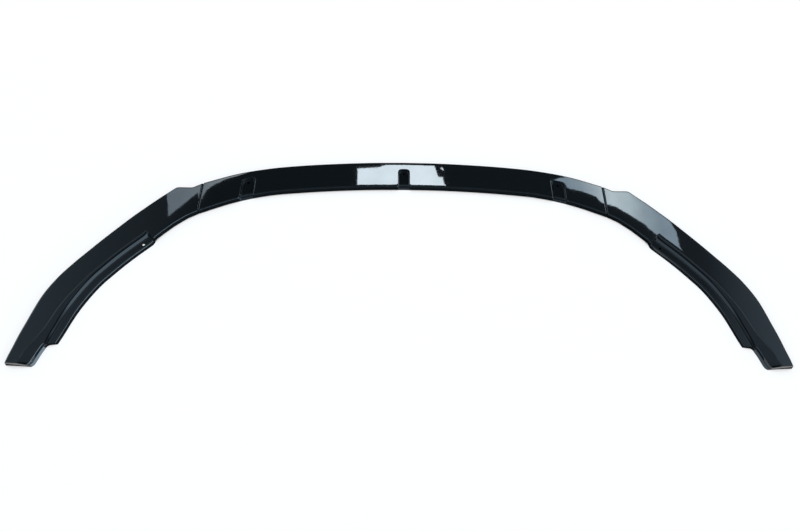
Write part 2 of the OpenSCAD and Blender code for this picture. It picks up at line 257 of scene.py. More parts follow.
class LipFinish(bpy.types.PropertyGroup):
    """Colours and gloss of the surfaces."""
    plastic: colour("Plastic", (0.0042, 0.0052, 0.0058), "Gloss black moulded plastic")
    inside: colour("Inside", (0.012, 0.013, 0.014), "Grained underside of the mouldings")
    gloss: number("Roughness", 0.02, "Roughness of the glossy faces")
    grain: number("Inside roughness", 0.45, "Roughness of the grained underside")
    broad_wave: length("Broad waves", 0.05, "Height of the broad waves in the plastic")
    flow_wave: length("Flow waves", 0.008, "Height of the smaller waves in the plastic")
    peel_wave: length("Fine waves", 0.0002, "Height of the finest waves in the plastic")
    grain_wave: length("Grain", 0.012, "Height of the grain on the underside")
    zinc: colour("Zinc", (0.62, 0.63, 0.65), "Zinc plating of the screws")
    bloom: colour("Bloom", (0.7, 0.66, 0.55), "Faint yellow bloom on the plating")
    zinc_gloss: number("Zinc roughness", 0.22, "Least roughness of the plating")
    zinc_cloud: number("Zinc clouds", 0.2, "Change of the plating's roughness")


class StudioSizes(bpy.types.PropertyGroup):
    """Floor, camera and lights."""
    floor_w: length("Floor", 9000, "Width and depth of the floor")
    floor_colour: colour("Floor colour", (0.8, 0.8, 0.8), "Pale floor")
    shade_share: number("Shade", 0.3, "Share of the floor's own light and shade that the camera sees")
    floor_white: number("Floor white", 1.24, "Strength of the rest, which makes the open floor white")
    # Painted shade: the floor's openness, found by ambient occlusion over the shade reach, takes its white
    # and its pale colour away under and right next to an object. Reflections see its colour darker still by
    # the mirror dimming.
    shade_reach: length("Shade reach", 25, "Distance over which the floor under an object loses its white")
    clear_from: number("Clear from", 0.4, "Openness of the floor at which it starts to turn white")
    clear_gain: number("Clear gain", 6, "How fast the floor turns white as it opens")
    # Painted light: strength of the white patch painted on the floor under the left flange hole
    gleam_gain: number("Gleam gain", 3.5, "How strongly the gleam turns the floor white")
    pale_from: number("Pale from", 0.5, "Openness of the floor at which its colour starts to turn pale")
    pale_gain: number("Pale gain", 1.8, "How fast the floor's colour turns pale as it opens")
    pale_least: number("Least pale", 0.1, "Share of the pale colour that the covered floor keeps")
    mirror_dim: number("Mirror dimming", 0.8, "How much darker reflections see the floor's colour")
    # Painted shade: the dark colour painted on the floor under an object
    shaded: colour("Covered floor", (0.02, 0.02, 0.02), "Colour of the floor under an object")
    # Painted light: reach of the white patch painted on the floor under the left flange hole
    gleam_r: length("Gleam", 12, "Reach of the white on the floor under the left flange hole")
    lens: length("Lens", 50, "Focal length of the camera")
    shift: bpy.props.FloatProperty(
        name="Camera shift", description="Sideways shift of the lens as a share of the picture",
        default=-0.0391)
    pitch_down: bpy.props.FloatProperty(
        name="Camera pitch", description="Angle at which the camera looks down",
        default=math.radians(60), subtype="ANGLE")
    yaw: bpy.props.FloatProperty(
        name="Camera yaw", description="Turn of the camera to the right", default=0.0636, subtype="ANGLE")
    roll: bpy.props.FloatProperty(
        name="Camera roll", description="Roll of the camera", default=0.0622, subtype="ANGLE")
    camera_place: bpy.props.FloatVectorProperty(
        name="Camera place", description="Place of the camera", default=(-0.0174, -1.2746, 2.1941),
        size=3, subtype="TRANSLATION")


def sizes():
    """The sizes of the mouldings, as set in the scene."""
    return bpy.context.scene.lip_sizes


def finish():
    """The colours and gloss, as set in the scene."""
    return bpy.context.scene.lip_finish


def studio():
    """The floor, camera and lights, as set in the scene."""
    return bpy.context.scene.lip_studio


def spline(rows, t):
    """A row of the smooth curve through rows that are one step apart."""
    last = len(rows) - 1
    k = min(max(math.floor(t), 0), last - 1)
    f = t - k
    b, c = Vector(rows[k]), Vector(rows[k + 1])
    a = 2 * b - c if k == 0 else Vector(rows[k - 1])
    e = 2 * c - b if k == last - 1 else Vector(rows[k + 2])
    return b + f * ((c - a) + f * ((2 * a - 5 * b + 4 * c - e) + f * (3 * b - a - 3 * c + e))) / 2


class Chord:
    """The line across the lip from its rear edge to its front edge at one station."""

    def __init__(self, row):
        band_d = sizes().band_d
        self.front = Vector((row[0] * HALF_W, OVERALL_D / 2 - row[1] * OVERALL_D))
        self.rear = Vector((row[2] * HALF_W, OVERALL_D / 2 - band_d - row[3] * (OVERALL_D - band_d)))
        self.width = (self.front - self.rear).length

    def at(self, d, z):
        """The point at distance d from the rear edge and height z."""
        p = self.rear + (self.front - self.rear) * d / self.width
        return Vector((p.x, p.y, z))

    def mirrored(self):
        """Moves the chord to the other side of the centre line."""
        self.front.x *= -1
        self.rear.x *= -1
        return self

    def between(self, other, share):
        """The chord at a share of the way to another one."""
        mixed = Chord((0, 0, 0, 0))
        mixed.front = self.front.lerp(other.front, share)
        mixed.rear = self.rear.lerp(other.rear, share)
        mixed.width = (mixed.front - mixed.rear).length
        return mixed


def stretch(rows, share):
    """The chord at a share of a stretch."""
    return Chord(spline(rows, share * (len(rows) - 1)))


def rear_run(rows, steps=400):
    """Lengths along the rear edge of a stretch, one for each equal step of its share."""
    run = [0.0]
    last = stretch(rows, 0).rear
    for k in range(1, steps + 1):
        here = stretch(rows, k / steps).rear
        run.append(run[-1] + (here - last).length)
        last = here
    return run


def share_at(run, distance):
    """The share of a stretch at a distance along its rear edge."""
    if distance <= 0:
        return distance / run[1] / (len(run) - 1)
    k = next((k for k in range(1, len(run)) if run[k] >= distance), len(run) - 1)
    return (k - 1 + (distance - run[k - 1]) / (run[k] - run[k - 1])) / (len(run) - 1)


def rounding(before, corner, after, soft, steps):
    """Points of the arc that rounds a corner, from soft before it to soft behind it."""
    before, corner, after = Vector(before), Vector(corner), Vector(after)
    to, back = (after - corner).normalized(), (before - corner).normalized()
    start, end = corner + back * soft, corner + to * soft
    weight = math.sqrt(max(0.0, (1 - to.dot(back)) / 2))
    points = []
    for k in range(steps + 1):
        t = k / steps
        shares = ((1 - t) ** 2, 2 * weight * t * (1 - t), t * t)
        points.append((start * shares[0] + corner * shares[1] + end * shares[2]) / sum(shares))
    return points


def rounded(corners):
    """A line through corners of distance, height, tangent length and steps. An end has no steps."""
    line = []
    for k, (d, z, soft, steps) in enumerate(corners):
        if steps == 0:
            line.append(Vector((d, z)))
        else:
            line += rounding(corners[k - 1][:2], (d, z), corners[k + 1][:2], soft, steps)
    return line


def underside(points, width, level):
    """Rows of the underside, down to a level where a rib or a wall comes down."""
    wall = sizes().wall
    rows = [Vector((wall, 0))]
    rows += [Vector((d, z if level is None else min(z, level))) for d, z in points]
    return rows + [Vector((width - wall, 0))]


def grid_loft(name, columns):
    """A closed shell over columns of points, each round one section, closed by a flat face at each end."""
    across, along = len(columns[0]), len(columns)
    bpy.ops.object.select_all(action="DESELECT")
    bpy.ops.mesh.primitive_grid_add(x_subdivisions=across, y_subdivisions=along - 1, size=1)
    shell = bpy.context.object
    shell.name = name
    shell.data.name = name
    if len(shell.data.vertices) != (across + 1) * along:
        raise RuntimeError("the grid hasn't the rows and columns that the loft needs")
    points = [c for column in columns for p in column + column[:1] for c in p]
    shell.data.vertices.foreach_set("co", points)
    bpy.ops.object.mode_set(mode="EDIT")
    bpy.ops.mesh.select_all(action="SELECT")
    bpy.ops.mesh.remove_doubles(threshold=MERGE_WITHIN)
    bpy.ops.mesh.select_all(action="DESELECT")
    bpy.ops.mesh.select_mode(type="EDGE")
    bpy.ops.mesh.select_non_manifold()
    bpy.ops.mesh.edge_face_add()
    bpy.ops.mesh.select_all(action="SELECT")
    bpy.ops.mesh.normals_make_consistent(inside=False)
    bpy.ops.object.mode_set(mode="OBJECT")
    shell.location = (0, 0, 0)
    return shell


def activate(shell):
    """Selects one object and makes it the active one."""
    bpy.ops.object.select_all(action="DESELECT")
    bpy.context.view_layer.objects.active = shell
    shell.select_set(True)


def merge(shell, cutter, operation):
    """Applies a Boolean of the cutter to the shell and deletes the cutter."""
    activate(shell)
    modifier = shell.modifiers.new("cut", "BOOLEAN")
    modifier.operation = operation
    modifier.solver = "EXACT"
    modifier.object = cutter
    bpy.ops.object.modifier_apply(modifier=modifier.name)
    bpy.data.objects.remove(cutter)


def rod(diameter, low, high, place, sides=HOLE_SIDES):
    """An upright cylinder between two heights."""
    bpy.ops.object.select_all(action="DESELECT")
    bpy.ops.mesh.primitive_cylinder_add(
        vertices=sides, radius=diameter / 2, depth=high - low,
        location=(place[0], place[1], (low + high) / 2))
    return bpy.context.object


def drill_screw(shell, low, high, node):
    """Cuts the bore of a joint screw."""
    s = sizes()
    bore = rod(s.screw_d + 2 * s.screw_play, low, high, node_centre(node), BORE_SIDES)
    merge(shell, bore, "DIFFERENCE")


def drill_mounts(shell, text, diameter, floor):
    """Cuts a hole through a floor at each mount whose name holds a text."""
    wall = sizes().wall
    for place in mount_places(text):
        merge(shell, rod(diameter, floor - 2 * wall, floor + wall, place), "DIFFERENCE")


def mount_places(text):
    """Places of the mounts whose names hold a text."""
    return [Vector(mount["pos_m"]) for mount in frame["record"]["mounts"] if text in mount["name"]]


def node_centre(node):
    """The middle of a node's box."""
    low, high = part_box(node)
    return (low + high) / 2


def tongue_top():
    """Height of the top of the tongues, on which the bosses of the wings sit."""
    s = sizes()
    return HEIGHT - s.wall - s.boss_h


def on_side(column, side):
    """A column of the right half, mirrored where the side is -1."""
    return [Vector((side * p.x, p.y, p.z)) for p in column]


def smooth(shell):
    """Shades the gentle bends smooth, with normals that the large faces rule."""
    activate(shell)
    bpy.ops.object.shade_smooth_by_angle(angle=SMOOTH_ANGLE)
    weighted = shell.modifiers.new("weighted normals", "WEIGHTED_NORMAL")
    weighted.keep_sharp = True
    weighted.weight = NORMAL_WEIGHT
    bpy.ops.object.modifier_apply(modifier=weighted.name)


def seat(piece, slot, *nodes):
    """Puts a finished piece on the body and lets it stand for its nodes."""
    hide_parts(*nodes)
    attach(piece, "root")


def mark_inside(shell):
    """Marks the faces that a part shows only from below, which have a grained finish."""
    attribute = shell.data.attributes.new("inside", "FLOAT", "FACE")
    highest = HEIGHT - BELOW_TOP * sizes().wall
    marks = []
    for face in shell.data.polygons:
        inside = face.normal.z < DOWNWARD and face.center.z < highest
        marks.append(1.0 if inside else 0.0)
    attribute.data.foreach_set("value", marks)


def complete(shell, node):
    """Smooths and finishes a moulding and lets it stand for its node."""
    mark_inside(shell)
    smooth(shell)
    shell.data.materials.append(bpy.data.materials["gloss_black_plastic"])
    seat(shell, "gloss_black", node)


def end_drop(near):
    """Drop of the top at a distance from the end of a moulding, whose upper edge is rounded."""
    r = sizes().end_r
    if near >= r:
        return 0.0
    return r - math.sqrt(max(0.0, r * r - (r - near) ** 2))


class BladeForm:
    """Heights of the centre blade's top over its plan."""

    def __init__(self):
        s = sizes()
        self.size = s
        self.half = HALF_W * (BLADE_SHARES[-1][0] + BLADE_SHARES[-1][2]) / 2
        self.end = self.half - s.joint_gap / 2
        self.pockets = (
            (-s.side_pocket_x, s.side_pocket_w / 2),
            (0.0, s.middle_pocket_w / 2),
            (s.side_pocket_x, s.side_pocket_w / 2))
        lean = s.pocket_draft / (HEIGHT - s.pocket_z)
        self.profile = rounded((
            (-s.pocket_r, HEIGHT, 0, 0),
            (-RIM * lean, HEIGHT, RIM_SOFT, FACE_STEPS),
            (s.pocket_draft, s.pocket_z, s.soft / 2, FACE_STEPS),
            (s.pocket_r, s.pocket_z, 0, 0)))
        self.levels = [p.x for p in self.profile]

    def chord(self, x):
        """The line across the blade at a distance from the centre line."""
        chord = Chord(spline(BLADE_SHARES, abs(x) / self.half * (len(BLADE_SHARES) - 1)))
        return chord.mirrored() if x < 0 else chord

    def inside(self, x):
        """Distance inside the side rim of the nearest pocket, and that pocket's centre and half width."""
        centre, half = min(self.pockets, key=lambda p: abs(x - p[0]) - p[1])
        return half - abs(x - centre), centre, half

    def rise(self, level):
        """Share of the pocket's wall that stands at a level inside its rim."""
        line = self.profile
        for low, high in zip(line, line[1:]):
            if level < high.x:
                share = max(0.0, (level - low.x) / (high.x - low.x))
                z = low.y + share * (high.y - low.y)
                return (z - self.size.pocket_z) / (HEIGHT - self.size.pocket_z)
        return 0.0

    def rear_r(self, a):
        """Radius of the rear rounding, which grows towards a pocket's mouth."""
        s = self.size
        if a <= -s.mouth_r:
            return s.rear_r
        off = min(1.0, 1 + a / s.mouth_r)
        return s.rear_r + s.mouth_r - math.sqrt(s.mouth_r ** 2 - (s.mouth_r * off) ** 2)

    def floor(self, d):
        """Height of a pocket's floor, which falls gently to its ramp and then steeply to the rear edge."""
        s = self.size
        low = s.pocket_z * RAMP_FOOT
        gentle = s.pocket_fall / (s.band_d - s.pocket_lead - s.ramp)
        top = s.pocket_z - s.pocket_fall / 2
        steep = (top - low) / s.ramp
        past = d - s.ramp
        if past <= -s.soft:
            return top + steep * past
        if past >= s.soft:
            return top + gentle * past
        t = (past + s.soft) / (2 * s.soft)
        return top - steep * s.soft + 2 * s.soft * (steep * t + (gentle - steep) * t * t / 2)

    def height(self, a, b, d):
        """Height of the top, a and b inside a pocket's side and front rims and d from the rear edge."""
        r = self.rear_r(a)
        outer = HEIGHT if d >= r else HEIGHT - r + math.sqrt(max(0.0, r * r - (r - d) ** 2))
        level = min(a, b)
        if level <= self.levels[0]:
            return outer
        floor = self.floor(d)
        return floor + (outer - floor) * self.rise(level)

    def turned(self, a, b):
        """Moves a place near a pocket's corner so that the lines of one level turn round it."""
        r = self.size.pocket_r
        level = min(a, b)
        if max(a, b) >= r or level <= -TURN_FADE:
            return a, b
        far = max(a, b)
        angle = (r - far) / (r - level) * math.pi / 4
        near_place = r - (r - level) * math.cos(angle)
        far_place = r - (r - level) * math.sin(angle)
        keep = 1.0 if level >= 0 else 1 + level / TURN_FADE
        near_place = level + (near_place - level) * keep
        far_place = far + (far_place - far) * keep
        return (near_place, far_place) if a <= b else (far_place, near_place)

    def column(self, x, level):
        """Points round the section at one station."""
        s = self.size
        drop = end_drop(self.end - abs(x))
        chord = self.chord(x)
        width = chord.width
        a, centre, half = self.inside(x)
        side = 1 if x >= centre else -1
        points = [chord.at(width, 0)]
        points += [chord.at(p.x, p.y - drop) for p in rounding(
            (width, 0), (width, HEIGHT), (0, HEIGHT), s.front_r, EDGE_STEPS)]
        lead = width - s.pocket_lead
        r = self.rear_r(a)
        behind = lead - r
        rows = [-s.pocket_lead * k / PLAN_STEPS for k in (3, 2)]
        rows += self.rim_levels(ROWS_OUTSIDE)
        rows += [s.pocket_r + (behind - s.pocket_r) * k / PLAN_STEPS for k in range(1, PLAN_STEPS + 1)]
        for b in rows:
            turned_a, turned_b = self.turned(a, b) if b < s.pocket_r else (a, b)
            place = chord
            if abs(turned_a - a) > SAME:
                place = self.chord(centre + side * (half - turned_a))
            d = place.width - s.pocket_lead - turned_b
            points.append(place.at(d, self.height(a, b, lead - b) - drop))
        for k in range(1, EDGE_STEPS + 1):
            d = r * (1 - math.sin(k / EDGE_STEPS * math.pi / 2))
            points.append(chord.at(d, self.height(a, s.pocket_r, d) - drop))
        points.append(chord.at(0, 0))
        return points + [chord.at(p.x, p.y) for p in self.under(a, width, level)]

    def under(self, a, width, level):
        """Rows of the underside, which comes down under a pocket's floor and round it."""
        s = self.size
        lead = width - s.pocket_lead
        top, floor = HEIGHT - s.wall, s.pocket_z - s.wall
        if a > s.pocket_draft:
            rows = [(s.ramp + s.soft, floor), (lead - s.pocket_draft, floor)]
        else:
            rows = [(s.wall, top), (lead - s.pocket_draft, top)]
            if a > -s.mouth_r:
                level = floor
        rows += [(lead + s.soft, top), (width - s.wall, top)]
        return underside(rows, width, level)

    def rim_levels(self, outside):
        """Distances inside a pocket's rim at which the blade has rows or columns."""
        wall = self.levels[1:-1]
        return [v * MM for v in outside] + wall + [v * MM for v in LEVELS_INSIDE] + [self.size.pocket_r]

    def stations(self):
        """Places of the sections, each with the level of the underside."""
        s = self.size
        found = {}
        count = round(2 * self.end / s.pitch)
        for k in range(1, count):
            x = self.end * (2 * k / count - 1)
            if self.inside(x)[0] < -s.mouth_r - s.soft and all(
                    abs(abs(x) - rib * self.end) > 2 * s.rib_t for rib in BLADE_RIB_SHARES):
                found[x] = None
        for rib in BLADE_RIB_SHARES:
            for side in (-1, 1):
                for b in (-1, 1):
                    found[side * rib * self.end + b * (s.rib_t / 2 + DRAFT)] = None
                    found[side * rib * self.end + b * s.rib_t / 2] = s.rib_lift
        for side in (-1, 1):
            found[side * (self.end - s.end_t - DRAFT)] = None
            found[side * (self.end - s.end_t)] = s.end_lift
            for near in END_STEPS:
                found[side * (self.end - near * s.end_r)] = s.end_lift
        insides = self.rim_levels(COLUMNS_OUTSIDE)
        for centre, half in self.pockets:
            for side in (-1, 1):
                for a in insides:
                    found[centre + side * (half - a)] = None
            inner = half - s.pocket_r
            for k in range(-1, 2):
                found[centre + k * inner / 2] = None
        return sorted(found.items())


class LIP_OT_centre_blade(bpy.types.Operator):
    """Lofts the centre blade with its three screw pockets, ribs and tongues"""
    bl_idname = "lip.centre_blade"
    bl_label = "Centre Blade"

    def execute(self, context):
        s = sizes()
        form = BladeForm()
        blade = grid_loft("centre_blade_shell", [form.column(x, level) for x, level in form.stations()])
        top = tongue_top()
        for side in (-1, 1):
            merge(blade, self.tongue(form, side, top), "UNION")
        drill_mounts(blade, "pocket_hole", s.pocket_hole_d, s.pocket_z)
        for node in JOINT_SCREWS:
            drill_screw(blade, top - 2 * s.wall, top + s.wall, node)
        complete(blade, "centre_blade")
        return {"FINISHED"}

    def tongue(self, form, side, top):
        """The plate that reaches under a wing, with edges that follow the wing's."""
        s = sizes()
        run = rear_run(ROOT_SHARES)
        inset = s.wall + s.tongue_play
        shares = [share_at(run, s.tongue_l * k / TONGUE_STEPS) for k in range(TONGUE_STEPS + 1)]
        chords = [form.chord(form.end - s.end_t / 2)] + [stretch(ROOT_SHARES, share) for share in shares]
        columns = []
        for chord in chords:
            far = chord.width - inset
            corners = ((inset, top - s.wall), (inset, top), (far, top), (far, top - s.wall))
            columns.append(on_side([chord.at(d, z) for d, z in corners], side))
        return grid_loft("tongue", columns)


JOINT_SCREWS = ("left_front_screw", "left_rear_screw", "right_front_screw", "right_rear_screw")


def eased(share, start):
    """Rises gently from 0 at a start to 1 at the end of a stretch."""
    return max(0.0, (share - start) / (1 - start)) ** EASE


class WingForm:
    """Sections of the right wing from its joint to its tip."""

    def __init__(self):
        self.size = sizes()

    def corners(self, rows, share, width):
        """Corners of a section: flat, slope, foot and edge, with the edge's rounding."""
        if rows is FLANGE_SHARES:
            return self.flange_corners(share, width)
        if rows is TIP_SHARES:
            return self.tip_corners(share, width)
        s = self.size
        top = s.flange_w + s.slope_w
        return (top + s.fall_w, HEIGHT), (top, HEIGHT), (s.flange_w, HEIGHT), (0.0, HEIGHT), s.rear_r

    def flange_corners(self, share, width):
        """Corners of a section with the flange, whose top narrows towards the tip."""
        s = self.size
        top = s.flange_w + s.slope_w
        widen = eased(share, NARROW_FROM)
        flat = (1 - widen) * (top + s.fall_w) + widen * (width - s.waist_flat_w)
        slope_z = (1 - widen) * s.slope_z + widen * s.tip_slope_z
        edge = s.skirt_lean * s.flange_z / (s.flange_z - s.flange_r)
        edge_r = FLANGE_EDGE * s.flange_r
        return (flat, HEIGHT), (top, slope_z), (s.flange_w, s.flange_z), (edge, s.flange_z), edge_r

    def tip_corners(self, share, width):
        """Corners of a section with the tip's foot and slope, which drops towards the end."""
        s = self.size
        drop = s.tip_drop * eased(share, DROP_FROM)
        flat = width - s.waist_flat_w - (s.tip_flat_w - s.waist_flat_w) * share
        slope = (s.tip_slope_w, s.tip_slope_z - drop)
        foot_z = s.tip_foot_z - FOOT_DROP * drop
        edge = s.skirt_lean * foot_z / (foot_z - s.flange_r)
        return (flat, HEIGHT), slope, (s.tip_foot_w, foot_z), (edge, foot_z), TIP_EDGE * s.flange_r

    def section(self, width, corners):
        """Rows of the outside of a section, all as distance and height."""
        s = self.size
        flat, slope, foot, edge, edge_r = corners
        room = max(LEAST_SOFT, (foot[0] - edge[0] - edge_r) / FOOT_PARTS)
        lines = rounded((
            (width, 0, 0, 0),
            (width, HEIGHT, s.front_r, EDGE_STEPS),
            (*flat, FLAT_SOFT * s.soft, 4),
            (*slope, SLOPE_SOFT * s.soft, FACE_STEPS),
            (*foot, min(FOOT_SOFT * s.soft, room), FACE_STEPS),
            (*edge, edge_r, 7),
            (0, 0, 0, 0)))
        spread = []
        for k, p in enumerate(lines):
            steps = WIDE_ROWS.get(k, 1)
            spread += [p] + [p.lerp(lines[k + 1], j / steps) for j in range(1, steps)]
        return spread

    def under(self, width, corners):
        """Corners of the underside of a section."""
        s = self.size
        shift = UNDER_SHIFT * s.wall
        flat, slope, foot, edge, edge_r = corners
        return [
            (max(s.wall, edge[0] * UNDER_EDGE + s.wall), edge[1] - s.wall),
            (foot[0] + shift, foot[1] - s.wall),
            (slope[0] + shift, slope[1] - s.wall),
            (flat[0] + shift, HEIGHT - s.wall),
            (width - s.wall, HEIGHT - s.wall)]

    def column(self, chord, corners, level, drop=0.0):
        """Points round a section, with the upper ones lowered by the drop of an end."""
        rows = [Vector((p.x, p.y - drop if p.y > drop else p.y)) for p in self.section(chord.width, corners)]
        rows += underside(self.under(chord.width, corners), chord.width, level)
        return [chord.at(p.x, p.y) for p in rows]

    def station(self, rows, share, level, drop=0.0):
        """The column at a share of a stretch."""
        chord = stretch(rows, share)
        return self.column(chord, self.corners(rows, share, chord.width), level, drop)

    def places(self, run, start, end, ribs):
        """Shares along a stretch with ribs in it, each with the level of its underside."""
        s = self.size
        middles = [rib * run[-1] for rib in ribs]
        found = {}
        count = max(LEAST_STATIONS, round((end - start) / s.pitch))
        for k in range(count + 1):
            here = start + (end - start) * k / count
            if k in (0, count) or all(abs(here - m) > s.rib_t for m in middles):
                found[here] = None
        for m in middles:
            for b in (-1, 1):
                found[m + b * (s.rib_t / 2 + DRAFT)] = None
                found[m + b * s.rib_t / 2] = s.rib_lift
        return [(share_at(run, here), level) for here, level in sorted(found.items())]

    def run_columns(self, rows, start, ribs, end_t, end_level):
        """Columns of a stretch with ribs in it and a closing wall at its end."""
        run = rear_run(rows)
        places = self.places(run, start, run[-1] - end_t - DRAFT, ribs)
        places += [(share_at(run, run[-1] - back), end_level) for back in (end_t, end_t / 2, 0)]
        return [self.station(rows, share, level) for share, level in places]

    def columns(self):
        """Columns of the whole wing, from its joint to its tip."""
        s = self.size
        run = rear_run(ROOT_SHARES)
        found = []
        for near in reversed(END_STEPS[1:]):
            share = share_at(run, s.joint_gap / 2 + near * s.end_r)
            found.append(self.station(ROOT_SHARES, share, None, end_drop(near * s.end_r)))
        start = s.joint_gap / 2 + END_STEPS[0] * s.end_r
        under_flange = s.flange_z - s.wall
        found += self.run_columns(ROOT_SHARES, start, ROOT_RIB_SHARES, s.wall, under_flange)
        found += self.bridge(ROOT_SHARES, FLANGE_SHARES, under_flange)
        found.append(self.station(FLANGE_SHARES, 0, None))
        found += self.run_columns(FLANGE_SHARES, DRAFT, FLANGE_RIB_SHARES, s.wall, s.rib_lift)
        found += self.bridge(FLANGE_SHARES, TIP_SHARES, s.rib_lift)
        found.append(self.station(TIP_SHARES, 0, s.rib_lift))
        return found + self.run_columns(TIP_SHARES, DRAFT, (), s.end_t, s.end_lift)

    def bridge(self, rows_a, rows_b, level, steps=9):
        """Columns of the wall between two stretches, with a rounded top and foot."""
        chord_a, chord_b = stretch(rows_a, 1), stretch(rows_b, 0)
        corners_a = self.corners(rows_a, 1, chord_a.width)
        corners_b = self.corners(rows_b, 0, chord_b.width)
        found = []
        for k in range(1, steps):
            t = k / steps
            drop = t * t * (3 - 2 * t)
            corners = [tuple(
                (1 - share) * p + share * q for p, q, share in zip(a, b, (t, drop)))
                for a, b in zip(corners_a[:4], corners_b[:4])]
            corners.append((1 - t) * corners_a[4] + t * corners_b[4])
            found.append(self.column(chord_a.between(chord_b, t), corners, level))
        return found


class LIP_OT_wings(bpy.types.Operator):
    """Lofts the two wings with their flanges, tips, ribs and bosses"""
    bl_idname = "lip.wings"
    bl_label = "Wings"

    def execute(self, context):
        s = sizes()
        columns = WingForm().columns()
        top = tongue_top()
        inside_top = HEIGHT - s.wall / 2
        for name, side in (("left", -1), ("right", 1)):
            wing = grid_loft(name + "_wing_shell", [on_side(column, side) for column in columns])
            for node in JOINT_SCREWS:
                if node.startswith(name):
                    merge(wing, rod(s.boss_d, top, inside_top, node_centre(node)), "UNION")
                    drill_screw(wing, top - s.wall, inside_top, node)
            drill_mounts(wing, name + "_flange_hole", s.flange_hole_d, s.flange_z)
            complete(wing, name + "_wing")
        return {"FINISHED"}


class Value:
    """A shader socket that sums can be written with."""

    def __init__(self, shader, socket):
        self.shader = shader
        self.socket = socket

    def sum(self, operation, *terms):
        return self.shader.node("ShaderNodeMath", {"operation": operation}, dict(enumerate(terms)))

    def __add__(self, other):
        return self.sum("ADD", self, other)

    __radd__ = __add__

    def __sub__(self, other):
        return self.sum("SUBTRACT", self, other)

    def __rsub__(self, other):
        return self.sum("SUBTRACT", other, self)

    def __mul__(self, other):
        return self.sum("MULTIPLY", self, other)

    def __truediv__(self, other):
        return self.sum("DIVIDE", self, other)

    def maximum(self, other):
        return self.sum("MAXIMUM", self, other)

    def clamped(self):
        return self.shader.node("ShaderNodeClamp", {}, {"Value": self})

    def axis(self, name):
        return self.shader.node("ShaderNodeSeparateXYZ", {}, {"Vector": self}, name)


class Shader:
    """The node tree of a material or of the world."""

    def __init__(self, owner):
        owner.use_nodes = True
        self.tree = owner.node_tree
        self.tree.nodes.clear()

    def node(self, kind, settings, inputs, output=0):
        """Adds a node, sets it up, fills or links its sockets and gives one of its outputs."""
        made = self.tree.nodes.new(kind)
        for key, value in settings.items():
            if key == "stops":
                self.fill_ramp(made.color_ramp, value)
            else:
                setattr(made, key, value)
        for key, value in inputs.items():
            if isinstance(value, Value):
                self.tree.links.new(value.socket, made.inputs[key])
            else:
                made.inputs[key].default_value = value
        return Value(self, made.outputs[output]) if made.outputs else made

    def fill_ramp(self, ramp, stops):
        while len(ramp.elements) < len(stops):
            ramp.elements.new(1)
        for element, (place, shade) in zip(ramp.elements, stops):
            element.position = place
            element.color = (shade, shade, shade, 1)

    def ramp(self, value, *stops):
        """A grey that changes along a value, with stops of place and shade."""
        return self.node("ShaderNodeValToRGB", {"stops": stops}, {"Fac": value})

    def coordinates(self, output="Object"):
        return self.node("ShaderNodeTexCoord", {}, {}, output)

    def noise(self, place, scale, detail=2.0):
        return self.node("ShaderNodeTexNoise", {}, {"Vector": place, "Scale": scale, "Detail": detail})

    def mix(self, share, first, second):
        """A colour between two others."""
        inputs = {"Factor": share, "A": (*first, 1), "B": (*second, 1)}
        return self.node("ShaderNodeMix", {"data_type": "RGBA"}, inputs, "Result")

    def ray(self, kind):
        """1 for rays of a kind, such as Camera or Glossy, and 0 for others."""
        return self.node("ShaderNodeLightPath", {}, {}, "Is " + kind + " Ray")


# Noises of the plastic: scale per metre and detail
BROAD, FLOW, PEEL, GRAIN, CLOUDS = (9, 1), (60, 2), (420, 2), (2600, 3), (35, 4)
# Change of the plastic's roughness with the clouds
HAZE = 0.012
# Noise of the zinc plating
BLOOM = (600, 3)


def plastic_material():
    """Gloss black moulded plastic, faintly wavy, with a grained underside."""
    look = finish()
    material = bpy.data.materials.new("gloss_black_plastic")
    shader = Shader(material)
    place = shader.coordinates()
    inside = shader.node("ShaderNodeAttribute", {"attribute_name": "inside"}, {}, "Fac")
    broad, flow, peel, grain, haze = (
        shader.noise(place, *settings) for settings in (BROAD, FLOW, PEEL, GRAIN, CLOUDS))
    roughness = (look.gloss - HAZE / 2) + haze * HAZE + inside * look.grain
    base = shader.mix(inside, look.plastic, look.inside)
    waves = (broad * look.broad_wave + flow * look.flow_wave + peel * look.peel_wave
        + grain * inside * look.grain_wave)
    bump = shader.node("ShaderNodeBump", {}, {"Strength": 1.0, "Distance": 1.0, "Height": waves})
    surface = shader.node("ShaderNodeBsdfPrincipled", {}, {
        "Base Color": base, "Roughness": roughness.clamped(), "IOR": 1.5, "Normal": bump})
    shader.node("ShaderNodeOutputMaterial", {}, {"Surface": surface})
    return material


def zinc_material():
    """Zinc-plated steel with a faint yellow bloom."""
    look = finish()
    material = bpy.data.materials.new("zinc_plated_steel")
    shader = Shader(material)
    place = shader.coordinates()
    cloud = shader.noise(place, *BLOOM)
    base = shader.mix(cloud, look.zinc, look.bloom)
    roughness = look.zinc_gloss + cloud * look.zinc_cloud
    surface = shader.node("ShaderNodeBsdfPrincipled", {}, {
        "Base Color": base, "Metallic": 1.0, "Roughness": roughness})
    shader.node("ShaderNodeOutputMaterial", {}, {"Surface": surface})
    return material


class LIP_OT_finishes(bpy.types.Operator):
    """Makes the plastic and the zinc plating"""
    bl_idname = "lip.finishes"
    bl_label = "Finishes"

    def execute(self, context):
        plastic_material()
        zinc_material()
        return {"FINISHED"}


class LIP_OT_joint_screws(bpy.types.Operator):
    """Finishes the four screws that join the blade and the wings"""
    bl_idname = "lip.joint_screws"
    bl_label = "Joint Screws"

    def execute(self, context):
        for node in JOINT_SCREWS:
            screw = frame["nodes"][node]
            screw.data.materials.clear()
            screw.data.materials.append(bpy.data.materials["zinc_plated_steel"])
        return {"FINISHED"}


